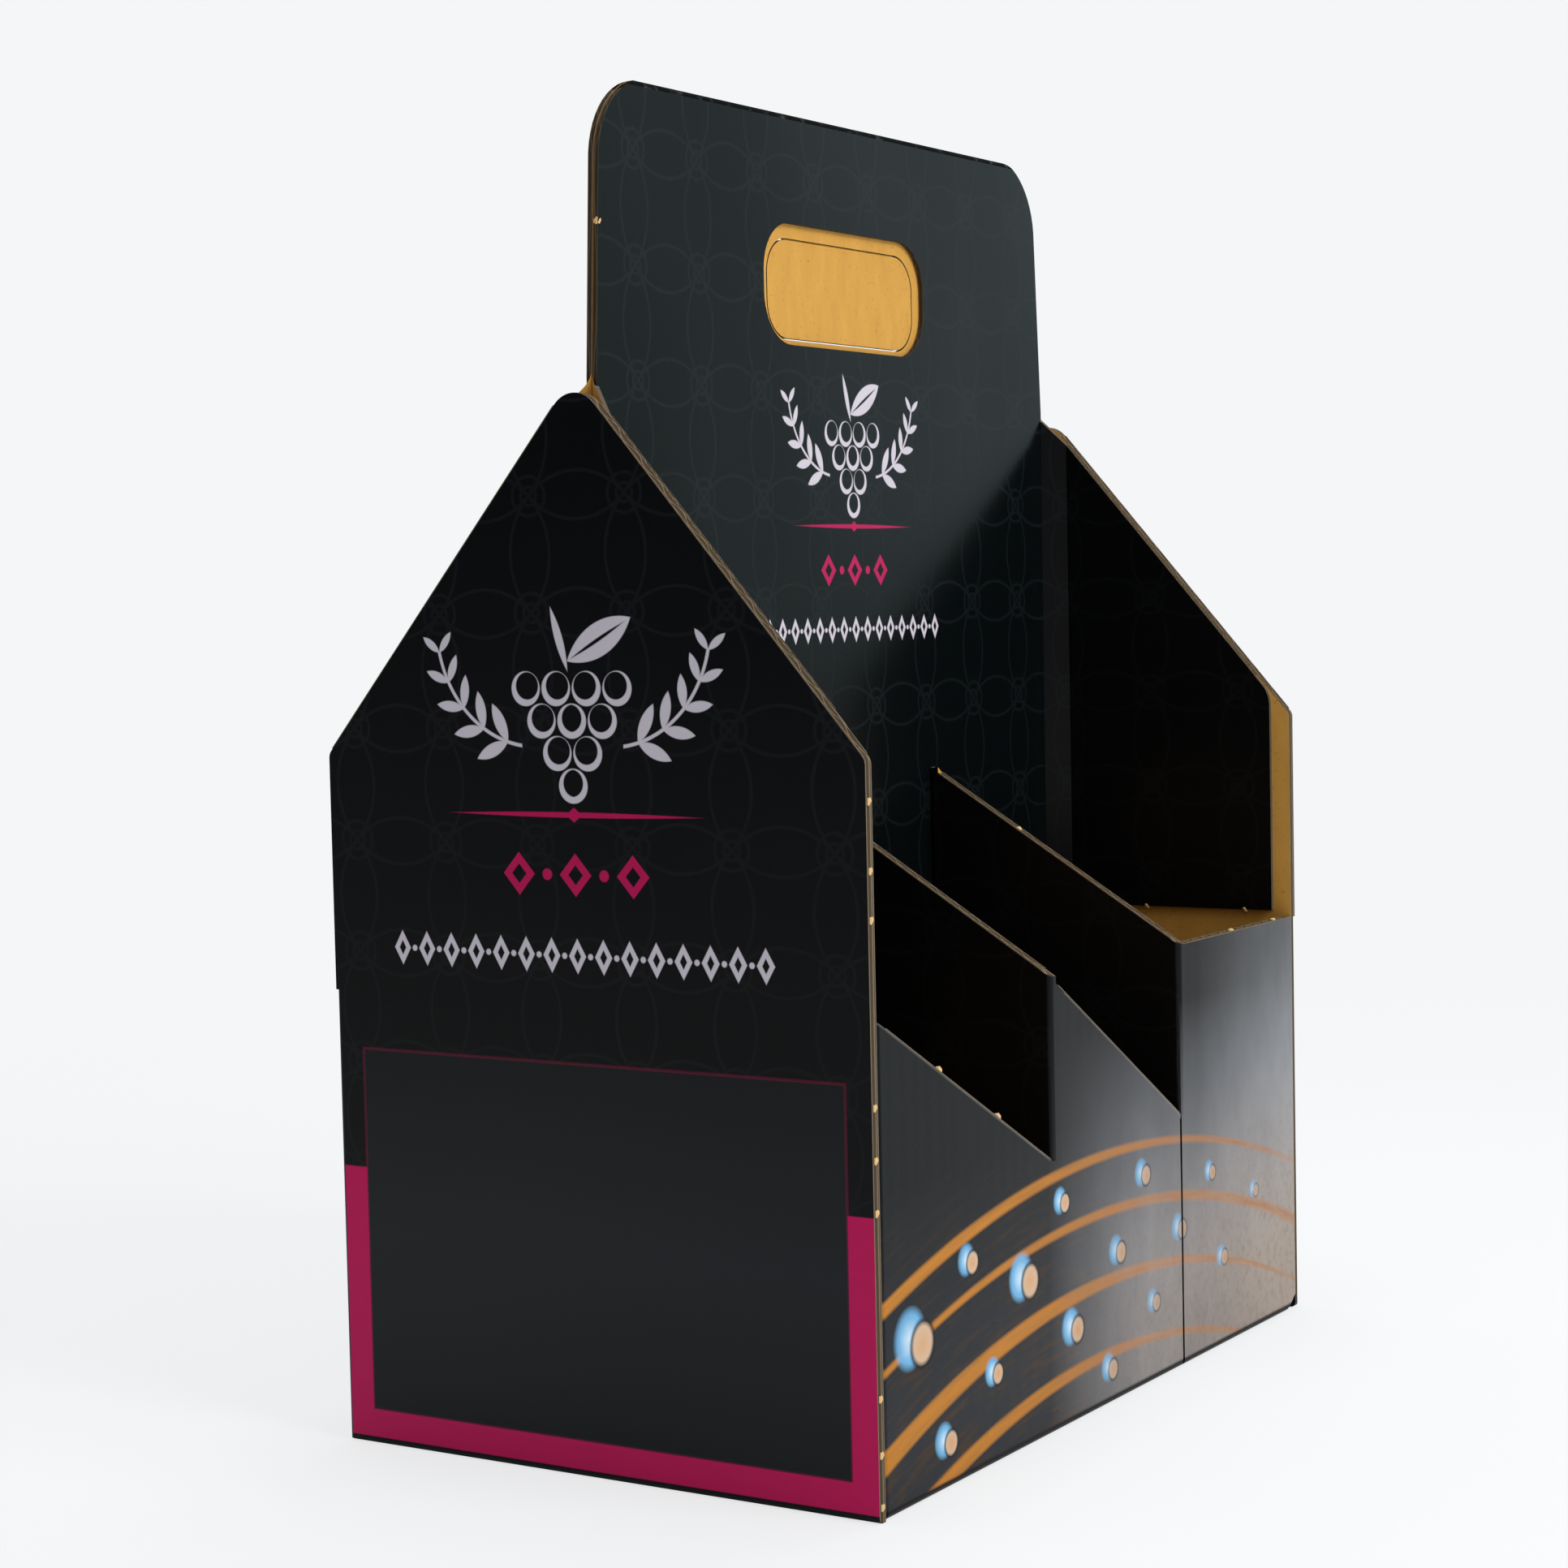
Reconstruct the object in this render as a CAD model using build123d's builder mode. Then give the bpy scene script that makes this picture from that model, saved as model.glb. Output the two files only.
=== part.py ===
"""Folded corrugated carrier for six bottles: two glued body halves and a folded handle insert."""

import os
from math import hypot

from build123d import *

os.makedirs("parts", exist_ok=True)

# Overall sizes in millimetres: X across, Y along, Z up, floor at zero
carrier_width = 168.0
carrier_length = 264.0
wall_height = 124.0
shoulder_height = 188.0
gable_rise = 97.0
grip_rise = 78.0

# Board of the body halves and of the handle insert
board = 3.0
insert_board = 1.5
fold_radius = 1.6
glue_gap = 0.2
ply_gap = 0.3

# End panels
shoulder_radius = 3.0
tip_radius = 8.0

# Steps of the side wall and the straps folded in from them
near_cell = 96.0
middle_cell = 82.0
strap_width = 50.0
strap_rise = 51.0
strap_tab = 20.0
tab_taper = 14.0

# Slit and crease under the far strap, relief notch at the folded bottom corner
slit_length = 15.0
slit_width = 0.8
crease_width = 1.2
crease_depth = 0.5
notch_run = 9.0
notch_height = 4.5

# Glue flap behind the end panel of the other half
corner_flap = 26.0
corner_flap_low = 12.0
corner_flap_drop = 3.0
corner_flap_taper = 8.0

# Bottom flaps: the end flap ramps up and lies on the wall flaps
ramp_run = 16.0
end_flap_length = 70.0
flap_clearance = 0.5
seam_gap = 0.8

# Handle insert
handle_inset = 8.4
grip_taper = 3.0
grip_corner_run = 18.5
grip_corner_drop = 23.0

# Gable flaps of the insert
splay_run = 8.0
gable_flap_lift = 2.0
gable_flap_margin = 5.8
gable_flap_inset = 0.3
gable_flap_radius = 10.0
web_radius = 8.0

# Hand hole and its flap
hole_length = 90.0
hole_height = 34.0
hole_radius = 14.0
hole_drop = 30.5
hole_offset = 2.6
hole_rim = 4.5
crease_drop = 4.5
flap_bottom_rim = 2.0
flap_radius = 10.0
flap_kerf = 0.5

# Positions that follow from the sizes
half_width = carrier_width / 2
half_length = carrier_length / 2
gable_height = shoulder_height + gable_rise
handle_height = gable_height + grip_rise
gable_slope = gable_rise / half_width
ply_face = ply_gap / 2 + insert_board
strap_low = wall_height - strap_width
near_fold = board - half_length
hinges = (near_cell - half_length, near_cell + middle_cell - half_length)
ramp_end = half_length - board - ramp_run
end_flap_low = board + glue_gap
floor_top = end_flap_low + board


# Right body half: right wall, far end panel, straps and bottom flaps
with BuildPart() as body_half_right:
    # Side wall with its stepped top
    with BuildSketch(Plane.YZ.offset(half_width - board)):
        with BuildLine():
            Polyline(
                (near_fold, 0),
                (near_fold, wall_height),
                (hinges[0], strap_low),
                (hinges[0], wall_height),
                (hinges[1], strap_low),
                (hinges[1], wall_height),
                (half_length, wall_height),
                (half_length, 0),
                close=True,
            )
        make_face()
    extrude(amount=board)

    # Far end panel with its gable
    with BuildSketch(Plane.XZ.offset(-half_length)) as end_outline:
        with BuildLine():
            Polyline(
                (-half_width, 0),
                (-half_width, shoulder_height),
                (0, gable_height),
                (half_width, shoulder_height),
                (half_width, 0),
                close=True,
            )
        make_face()
        fillet(end_outline.vertices().group_by(Axis.Y)[1], shoulder_radius)
        fillet(end_outline.vertices().sort_by(Axis.Y)[-1], tip_radius)
    extrude(amount=board)

    # Glue flap folded in behind the near end panel
    with BuildSketch(Plane.XZ.offset(-near_fold)):
        with BuildLine():
            Polyline(
                (half_width, corner_flap_low),
                (half_width, wall_height - corner_flap_drop),
                (half_width - corner_flap, wall_height - corner_flap_drop - corner_flap_taper),
                (half_width - corner_flap, corner_flap_low + corner_flap_taper),
                close=True,
            )
        make_face()
    extrude(amount=-board)

    # Straps rising inward to the divider, each with a glue tab on the divider
    for hinge in hinges:
        with BuildSketch(Plane.XZ.offset(-hinge)):
            with BuildLine():
                Polyline(
                    (half_width, strap_low),
                    (half_width, wall_height),
                    (ply_face, wall_height + strap_rise),
                    (ply_face, strap_low + strap_rise),
                    close=True,
                )
            make_face()
        extrude(amount=-board)
        with BuildSketch(Plane.YZ.offset(ply_face)):
            with BuildLine():
                Polyline(
                    (hinge, strap_low + strap_rise),
                    (hinge, wall_height + strap_rise),
                    (hinge + strap_tab, wall_height + strap_rise - tab_taper),
                    (hinge + strap_tab, strap_low + strap_rise + tab_taper),
                    close=True,
                )
            make_face()
        extrude(amount=board)

    # Bottom flap of the wall, up to the middle seam
    with BuildSketch(Plane.XY):
        with Locations(((half_width + seam_gap / 2) / 2, 0)):
            Rectangle(half_width - seam_gap / 2, 2 * ramp_end - 2 * flap_clearance)
    extrude(amount=board)

    # Bottom flap of the end panel, lying on the wall flaps
    with BuildSketch(Plane.YZ):
        with BuildLine():
            Polyline(
                (half_length - board, 0),
                (ramp_end, end_flap_low),
                (half_length - end_flap_length, end_flap_low),
                (half_length - end_flap_length, floor_top),
                (ramp_end, floor_top),
                (half_length - board, board),
                close=True,
            )
        make_face()
    extrude(amount=half_width - board - flap_clearance, both=True)

    # Round outer side of the upright folds at the two wall ends
    with BuildSketch(Plane.XY):
        with Locations((half_width, half_length), (half_width, near_fold)):
            Rectangle(2 * fold_radius, 2 * fold_radius)
        with Locations(
            (half_width - fold_radius, half_length - fold_radius),
            (half_width - fold_radius, near_fold + fold_radius),
        ):
            Circle(fold_radius, mode=Mode.SUBTRACT)
    extrude(amount=wall_height, mode=Mode.SUBTRACT)

    # Round outer side of the strap folds at the wall and at the divider
    with BuildSketch(Plane.XY.offset(strap_low)):
        for hinge in hinges:
            with Locations((half_width, hinge), (ply_face, hinge)):
                Rectangle(2 * fold_radius, fold_radius, align=(Align.CENTER, Align.MIN))
            with Locations(
                (half_width - fold_radius, hinge + fold_radius),
                (ply_face + fold_radius, hinge + fold_radius),
            ):
                Circle(fold_radius, mode=Mode.SUBTRACT)
    extrude(amount=strap_width + strap_rise, mode=Mode.SUBTRACT)

    # Round outer side of the bottom folds
    with BuildSketch(Plane.XZ):
        with Locations((half_width, 0)):
            Rectangle(2 * fold_radius, 2 * fold_radius)
        with Locations((half_width - fold_radius, fold_radius)):
            Circle(fold_radius, mode=Mode.SUBTRACT)
    extrude(amount=half_length, both=True, mode=Mode.SUBTRACT)
    with BuildSketch(Plane.YZ):
        with Locations((half_length, 0)):
            Rectangle(2 * fold_radius, 2 * fold_radius)
        with Locations((half_length - fold_radius, fold_radius)):
            Circle(fold_radius, mode=Mode.SUBTRACT)
    extrude(amount=half_width, both=True, mode=Mode.SUBTRACT)

    # Relief notch at the bottom of the folded corner
    with BuildSketch(Plane.YZ.offset(half_width - board)):
        with BuildLine():
            Polyline(
                (half_length - notch_run, 0),
                (half_length - board, notch_height),
                (half_length - board, 0),
                close=True,
            )
        make_face()
    extrude(amount=board, mode=Mode.SUBTRACT)

    # Slit below the far strap, then a crease down to the floor
    with BuildSketch(Plane.YZ.offset(half_width - board)):
        with Locations((hinges[1], strap_low + slit_width)):
            Rectangle(slit_width, slit_length, align=(Align.MAX, Align.MAX))
    extrude(amount=board, mode=Mode.SUBTRACT)
    with BuildSketch(Plane.YZ.offset(half_width)):
        with Locations((hinges[1], 0)):
            Rectangle(crease_width, strap_low - slit_width, align=(Align.MAX, Align.MIN))
    extrude(amount=-crease_depth, mode=Mode.SUBTRACT)
body_half_right.part.label = "body_half_right"
export_step(body_half_right.part, "parts/body_half_right.step")


# Left body half: the same sheet turned half round
with BuildPart() as body_half_left:
    add(body_half_right.part, rotation=(0, 0, 180))
body_half_left.part.label = "body_half_left"
export_step(body_half_left.part, "parts/body_half_left.step")


# Handle insert: two plies folded over at the top, four gable flaps
ply_end = half_length - handle_inset
grip_end = ply_end - grip_taper
flap_seat = half_length - board
splay_drop = flap_seat - ply_end
splay_skin = insert_board * hypot(splay_run, splay_drop) / splay_run
splay_slope = splay_drop / splay_run
splay_reach = ply_gap / 2 + (splay_drop + splay_skin - insert_board) / splay_slope
flap_reach = half_width - gable_flap_margin
gable_flap_low = wall_height + gable_flap_lift
gable_flap_top = gable_height - gable_flap_inset * hypot(gable_slope, 1)
gable_flap_shoulder = gable_flap_top - gable_slope * flap_reach
edge_length = hypot(1, gable_slope)
web_tangent = web_radius * (edge_length - gable_slope)
web_x = web_tangent / edge_length
web_low = gable_flap_top - gable_slope * web_x
web_top = gable_flap_top + web_tangent
hole_z = handle_height - hole_drop - hole_height / 2
flap_top = handle_height - hole_drop - crease_drop
flap_length = hole_length - 2 * hole_rim
flap_height = hole_height - crease_drop - flap_bottom_rim
flap_z = flap_top - flap_height / 2

with BuildPart() as handle_insert:
    # One gable flap as a bent strip seen from above
    with BuildSketch(Plane.XY.offset(gable_flap_low)):
        with BuildLine():
            Polyline(
                (ply_gap / 2, -ply_end),
                (ply_gap / 2 + splay_run, -flap_seat),
                (flap_reach, -flap_seat),
                (flap_reach, insert_board - flap_seat),
                (splay_reach, insert_board - flap_seat),
                (ply_face, splay_skin - ply_end - splay_slope * insert_board),
                (ply_gap / 2, splay_skin - ply_end),
                close=True,
            )
        make_face()
    extrude(amount=handle_height - gable_flap_low)

    # Outline of the flap: gable edge running up into the handle edge
    with BuildSketch(Plane.XZ) as flap_outline:
        with BuildLine():
            Polyline(
                (web_x, web_low),
                (flap_reach, gable_flap_shoulder),
                (flap_reach, gable_flap_low),
                (0, gable_flap_low),
                (0, web_top),
            )
            TangentArc((0, web_top), (web_x, web_low), tangent=(0, -1))
        make_face()
        fillet(flap_outline.vertices().filter_by_position(Axis.X, flap_reach, flap_reach).sort_by(Axis.Y)[-1], gable_flap_radius)
    extrude(amount=half_length, mode=Mode.INTERSECT)
    mirror(about=Plane.XZ)

    # One ply: divider below, handle above
    with BuildSketch(Plane.YZ.offset(ply_gap / 2)):
        with BuildLine():
            Polyline(
                (0, floor_top),
                (ply_end, floor_top),
                (ply_end, gable_height),
                (grip_end, handle_height - grip_corner_drop),
            )
            TangentArc(
                (grip_end, handle_height - grip_corner_drop),
                (grip_end - grip_corner_run, handle_height),
                tangent=(0, 1),
            )
            Line((grip_end - grip_corner_run, handle_height), (0, handle_height))
            mirror(about=Plane.YZ)
        make_face()
    extrude(amount=insert_board)
    mirror(about=Plane.YZ)

    # Fold along the top that joins the two plies, rounded outside
    with BuildSketch(Plane.XZ):
        with Locations((0, handle_height)):
            Rectangle(ply_gap, insert_board, align=(Align.CENTER, Align.MAX))
    extrude(amount=grip_end - grip_corner_run, both=True)
    with BuildSketch(Plane.XZ):
        with Locations((0, handle_height)):
            Rectangle(4 * ply_face, 2 * ply_face)
        with Locations((0, handle_height - ply_face)):
            Circle(ply_face, mode=Mode.SUBTRACT)
            Rectangle(2 * ply_face, 2 * ply_face, align=(Align.CENTER, Align.MAX), mode=Mode.SUBTRACT)
    extrude(amount=half_length, both=True, mode=Mode.SUBTRACT)

    # Hand hole in the right ply, smaller opening of the flap in the left ply
    with BuildSketch(Plane.YZ):
        with Locations((hole_offset, hole_z)):
            RectangleRounded(hole_length, hole_height, hole_radius)
    extrude(amount=2 * ply_face, mode=Mode.SUBTRACT)
    with BuildSketch(Plane.YZ):
        with Locations((hole_offset, flap_z)):
            RectangleRounded(flap_length + 2 * flap_kerf, flap_height + 2 * flap_kerf, flap_radius + flap_kerf)
    extrude(amount=-2 * ply_face, mode=Mode.SUBTRACT)
handle_insert.part.label = "handle_insert"
export_step(handle_insert.part, "parts/handle_insert.step")


# Hand hole flap in the left ply, hinged along its top crease
with BuildPart() as hand_hole_flap:
    with BuildSketch(Plane.YZ.offset(-ply_gap / 2)):
        with Locations((hole_offset, flap_z)):
            RectangleRounded(flap_length, flap_height, flap_radius)
    extrude(amount=-insert_board)
hand_hole_flap.part.label = "hand_hole_flap"
export_step(hand_hole_flap.part, "parts/hand_hole_flap.step")
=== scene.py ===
"""Dresses a folded corrugated bottle carrier with print, kraft and cut edges, and sets a studio stage."""

from functools import reduce
from math import copysign, cos, hypot, radians, sin, sqrt, tau

import bmesh
import bpy
from bpy.props import FloatProperty, FloatVectorProperty, PointerProperty
from mathutils import Matrix, Vector


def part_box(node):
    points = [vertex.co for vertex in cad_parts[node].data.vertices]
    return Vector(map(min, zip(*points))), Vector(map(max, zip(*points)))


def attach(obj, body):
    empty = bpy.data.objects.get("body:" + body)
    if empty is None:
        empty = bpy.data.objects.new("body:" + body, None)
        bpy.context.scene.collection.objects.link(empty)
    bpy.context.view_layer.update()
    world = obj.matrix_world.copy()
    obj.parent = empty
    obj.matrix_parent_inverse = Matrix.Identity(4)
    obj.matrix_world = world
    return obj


bl_info = {
    "name": "Bottle Carrier Dressing",
    "version": (1, 0, 0),
    "blender": (4, 5, 0),
    "location": "View3D > Sidebar > Carrier",
    "description": "Print, kraft and cut edges for a folded bottle carrier, and its studio stage",
    "category": "Object",
}

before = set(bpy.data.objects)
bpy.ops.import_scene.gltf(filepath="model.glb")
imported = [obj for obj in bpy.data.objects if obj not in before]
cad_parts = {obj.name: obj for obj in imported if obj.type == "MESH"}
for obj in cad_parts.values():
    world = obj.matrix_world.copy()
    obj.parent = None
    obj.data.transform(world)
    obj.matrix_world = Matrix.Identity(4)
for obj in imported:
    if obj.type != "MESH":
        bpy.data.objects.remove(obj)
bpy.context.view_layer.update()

# Sizes read from the frame, metres
HALF_LOW, HALF_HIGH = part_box("body_half_right")
FLAP_LOW, FLAP_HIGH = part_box("hand_hole_flap")
HALF_WIDTH = HALF_HIGH.x
HALF_LENGTH = HALF_HIGH.y
BOARD = HALF_LENGTH + HALF_LOW.y
PLY = FLAP_HIGH.x - FLAP_LOW.x
PLY_FACE = -FLAP_LOW.x
HANDLE_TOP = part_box("handle_insert")[1].z

# Print is drawn in millimetres, faces are told apart by their normals
MM = 1000.0
FLAT_LIMIT = 0.1
SQUARE_LIMIT = 0.9
TOUCH = 0.0003

# Wave of the board and of the thinner insert board, millimetres
FLUTE = 6.5
FINE_FLUTE = 3.2

# Half the height of a wave and thickness of a liner, shares of the board's thickness
FLUTE_SHARE = 0.34
LINER_SHARE = 0.13

# Cuts of a side wall, metres: its top, its two strap hinges, drop of the wall and rise of a strap
WALL_TOP = 0.124
HINGES = (-0.036, 0.046)
STRAP_DROP = 0.050
STRAP_RISE = 0.051

# Where the gable flaps of the insert lie flat on the end panels, metres from the middle
SPLAY_END = 0.0088

# Ends of the sloping cut of an end panel and of the gable flap behind it, metres across and up
GABLE_TIP = (0.0063, 0.2777)
GABLE_FOOT = (HALF_WIDTH - 0.0012, 0.1894)
FLAP_TIP = (SPLAY_END, 0.2744)
FLAP_FOOT = (0.0732, 0.2000)

# Tolerances for picking the points of a strip and for merging its turns
PICK = 0.001
MERGE = 0.00001

# Line of the faint lattice in millimetres, strength of the rules, and two more inks
LATTICE_LINE = 0.9
RULE_INK = 0.92
PLAIN_INK = (0.0016, 0.0019, 0.0023)
HANDLE_PATTERN = (0.0085, 0.0115, 0.0125)

# Print of the side walls in millimetres: ribbons by radius, thickness and swell, beads by across, up and size
RIBBON_HUB = (-10.0, -330.0)
RIBBONS = ((346.0, 3.0, 5.5), (367.0, 3.6, 7.0), (386.0, 2.6, -2.4), (402.0, 2.6, 4.0))
BEADS = (
    (-112.0, 41.0, 8.4), (-97.0, 12.0, 5.0), (-84.0, 56.0, 4.6), (-71.0, 24.0, 4.2), (-53.0, 45.0, 7.0),
    (-31.0, 62.0, 4.0), (-25.0, 26.0, 5.6), (-3.0, 10.0, 4.4), (3.0, 42.0, 4.6), (20.0, 61.0, 4.4),
    (26.0, 23.0, 3.8), (44.0, 41.0, 4.4), (66.0, 54.0, 3.4), (74.0, 27.0, 3.6), (98.0, 43.0, 3.0),
)

# Tones of the side walls, from the dark ground to the pale painted sheen low down and at the far end, which
# stands in for the reflection of the floor and of the light behind
NIGHT = (0.0060, 0.0078, 0.0088)
DUSK = (0.020, 0.0235, 0.028)
UMBER = (0.060, 0.031, 0.013)
EMBER = (0.30, 0.100, 0.012)
PAINTED_SHEEN = (0.225, 0.235, 0.258)
WARM_PAINTED_SHEEN = (0.330, 0.272, 0.228)
FAR_PAINTED_SHEEN = (0.400, 0.415, 0.440)
GLINT = (0.62, 0.78, 0.90)
# Painted shade along the bottom fold of the side walls
FOLD_SHADE = (0.006, 0.004, 0.005)

# Specks, pale clouds and torn fibres of the kraft paper
SPECK = (0.22, 0.11, 0.03)
PALE_KRAFT = (0.60, 0.36, 0.11)
TORN_FIBRE = (0.72, 0.56, 0.34)

# Kinds of settings
COLOUR = {"subtype": "COLOR", "size": 3}
PLACE = {"subtype": "TRANSLATION", "unit": "LENGTH", "size": 3}
DISTANCE = {"subtype": "DISTANCE", "unit": "LENGTH"}


class Term:
    """A value inside a node tree that can be used in plain sums."""

    def __init__(self, nodes, socket):
        self.nodes = nodes
        self.socket = socket

    def __add__(self, other):
        return self.nodes.math("ADD", self, other)

    def __radd__(self, other):
        return self.nodes.math("ADD", other, self)

    def __sub__(self, other):
        return self.nodes.math("SUBTRACT", self, other)

    def __rsub__(self, other):
        return self.nodes.math("SUBTRACT", other, self)

    def __mul__(self, other):
        return self.nodes.math("MULTIPLY", self, other)

    def __truediv__(self, other):
        return self.nodes.math("DIVIDE", self, other)

    def __abs__(self):
        return self.nodes.math("ABSOLUTE", self)

    def __or__(self, other):
        return self.nodes.math("MAXIMUM", self, other)

    def __and__(self, other):
        return self.nodes.math("MINIMUM", self, other)


class Nodes:
    """A node tree; every node of it comes from make."""

    def __init__(self, owner):
        owner.use_nodes = True
        self.tree = owner.node_tree
        self.tree.nodes.clear()

    def make(self, kind, settings=None, inputs=None, out=0):
        """Adds a node: its settings first, then the values or links of its sockets."""
        node = self.tree.nodes.new(kind)
        for name, value in (settings or {}).items():
            setattr(node, name, value)
        for key, value in (inputs or {}).items():
            if isinstance(value, Term):
                self.tree.links.new(value.socket, node.inputs[key])
            else:
                node.inputs[key].default_value = value
        return Term(self, node.outputs[out]) if node.outputs else None

    def beside(self, term, out):
        """Another output of the node that a term comes from."""
        return Term(self, term.socket.node.outputs[out])

    def math(self, operation, first, second=0.0, clamp=False):
        """A Math node on two terms or numbers."""
        settings = {"operation": operation, "use_clamp": clamp}
        return self.make("ShaderNodeMath", settings, {0: first, 1: second})


class Finish(Nodes):
    """One procedural material."""

    def __init__(self, name):
        self.material = bpy.data.materials.new(name)
        super().__init__(self.material)
        self.place = self.make("ShaderNodeTexCoord", out="Object")
        inputs = {"Vector": self.place, "Scale": MM}
        scaled = self.make("ShaderNodeVectorMath", {"operation": "SCALE"}, inputs)
        self.x = self.make("ShaderNodeSeparateXYZ", {}, {0: scaled})
        self.y = self.beside(self.x, "Y")
        self.z = self.beside(self.x, "Z")

    def sign(self, term):
        """One on the positive side and minus one on the negative side."""
        return self.math("SIGN", term)

    def wrap(self, term, pitch):
        """The term repeated from zero to the pitch."""
        return self.make("ShaderNodeMath", {"operation": "WRAP"}, {0: term, 1: pitch, 2: 0.0})

    def gain(self, term, factor):
        """The term made stronger and kept between zero and one."""
        return self.math("MULTIPLY", term, factor, clamp=True)

    def fill(self, distance, soft):
        """One inside a signed distance, zero outside, with a soft edge."""
        return self.math("SUBTRACT", 0.5, distance / soft, clamp=True)

    def noise(self, scale, detail=3.0, rough=0.55, stretch=(1.0, 1.0, 1.0)):
        """Noise on the object's own coordinates, scale in turns per metre."""
        placed = self.make("ShaderNodeVectorMath", {"operation": "MULTIPLY"}, {0: self.place, 1: stretch})
        inputs = {"Vector": placed, "Scale": scale, "Detail": detail, "Roughness": rough}
        return self.make("ShaderNodeTexNoise", {}, inputs)

    @staticmethod
    def paint(colour):
        """A colour as a socket value, or the term as it is."""
        return colour if isinstance(colour, Term) else (*colour, 1.0)

    def cover(self, mask, below, above):
        """The colour below, covered by the colour above where the mask is one."""
        inputs = {0: mask, 6: self.paint(below), 7: self.paint(above)}
        return self.make("ShaderNodeMix", {"data_type": "RGBA"}, inputs, out=2)

    def layers(self, colour, *covers):
        """A colour with others over it in turn, each where its mask is one."""
        for mask, above in covers:
            colour = self.cover(mask, colour, above)
        return colour

    def bump(self, height, strength, distance):
        """A bumped normal from a height."""
        return self.make("ShaderNodeBump", {}, {"Strength": strength, "Distance": distance, "Height": height})

    def close(self, colour, roughness, normal, specular, coat=0.0, coat_roughness=0.15):
        """Ends the material with its surface shader."""
        inputs = {
            "Base Color": self.paint(colour),
            "Roughness": roughness,
            "Normal": normal,
            "Specular IOR Level": specular,
            "Coat Weight": coat,
            "Coat Roughness": coat_roughness,
        }
        return self.end(self.make("ShaderNodeBsdfPrincipled", {}, inputs))

    def end(self, shader):
        """Links a shader to the material's output."""
        self.make("ShaderNodeOutputMaterial", {}, {"Surface": shader})
        return self.material


class Drawing:
    """Flat print shapes on a panel, in millimetres across and up."""

    def __init__(self, finish, across, up, soft=0.3):
        self.finish = finish
        self.across = across
        self.up = up
        self.soft = soft
        self.point = finish.make("ShaderNodeCombineXYZ", {}, {0: across, 1: up})

    def moved(self, centre, scale=1.0):
        """The same panel with another middle and scale."""
        across = (self.across - centre[0]) / scale
        up = (self.up - centre[1]) / scale
        return Drawing(self.finish, across, up, self.soft / scale)

    def mirrored(self):
        """The right side of the panel, seen on both sides of its middle."""
        return Drawing(self.finish, abs(self.across), self.up, self.soft)

    def row(self, pitch):
        """The panel repeated along its width."""
        return Drawing(self.finish, self.finish.wrap(self.across, pitch), self.up, self.soft)

    def tiled(self, pitch):
        """The panel repeated in square tiles."""
        wrap = self.finish.wrap
        return Drawing(self.finish, wrap(self.across, pitch), wrap(self.up, pitch), self.soft)

    def fill(self, distance):
        """One inside a signed distance."""
        return self.finish.fill(distance, self.soft)

    def reach(self, centre):
        """Distance from a point."""
        inputs = {0: self.point, 1: (*centre, 0.0)}
        return self.finish.make("ShaderNodeVectorMath", {"operation": "DISTANCE"}, inputs, out="Value")

    def disc(self, centre, radius):
        """A round spot."""
        return self.fill(self.reach(centre) - radius)

    def ring(self, centre, radius, line):
        """A circle drawn as a line."""
        return self.fill(abs(self.reach(centre) - radius) - line / 2)

    def swash(self, centre, radius, lean, thick):
        """A loop drawn with a broad nib, thin towards the lean and thick away from it."""
        mean_share = 0.55
        shift = thick / 2 / hypot(*lean)
        inner = (centre[0] + lean[0] * shift, centre[1] + lean[1] * shift)
        return self.disc(centre, radius) & (1.0 - self.disc(inner, radius - thick * mean_share))

    def ribbon(self, hub, radius, thick, slide):
        """A long curved band that swells towards one end."""
        return self.disc(hub, radius) & (1.0 - self.disc((hub[0] + slide, hub[1]), radius - thick))

    def leaf(self, start, stop, thick):
        """A stroke that tapers to a point at both ends."""
        half = hypot(stop[0] - start[0], stop[1] - start[1]) / 2
        radius = (half * half + thick * thick / 4) / thick
        away = (radius - thick / 2) / half / 2
        middle = ((start[0] + stop[0]) / 2, (start[1] + stop[1]) / 2)
        side = ((start[1] - stop[1]) * away, (stop[0] - start[0]) * away)
        one = self.disc((middle[0] + side[0], middle[1] + side[1]), radius)
        two = self.disc((middle[0] - side[0], middle[1] - side[1]), radius)
        return one & two

    def box_distance(self, low, high):
        """Signed distance to a rectangle."""
        middle = ((low[0] + high[0]) / 2, (low[1] + high[1]) / 2)
        half = ((high[0] - low[0]) / 2, (high[1] - low[1]) / 2)
        return (abs(self.across - middle[0]) - half[0]) | (abs(self.up - middle[1]) - half[1])

    def lozenge(self, centre, half):
        """A diamond."""
        slant = abs(self.across - centre[0]) / half[0] + abs(self.up - centre[1]) / half[1]
        return self.fill((slant - 1.0) * min(half))


def petal_lattice(drawing, pitch):
    """Overlapping circles with two rings in each gap, a common wallpaper lattice."""
    outer_ring, inner_ring = pitch * 0.17, pitch * 0.08
    tile = drawing.tiled(pitch)
    middle = (pitch / 2, pitch / 2)
    mask = tile.ring(middle, outer_ring, LATTICE_LINE) | tile.ring(middle, inner_ring, LATTICE_LINE)
    for corner in ((0, 0), (pitch, 0), (0, pitch), (pitch, pitch)):
        mask = mask | tile.ring(corner, pitch / sqrt(2), LATTICE_LINE)
    return mask


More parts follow.
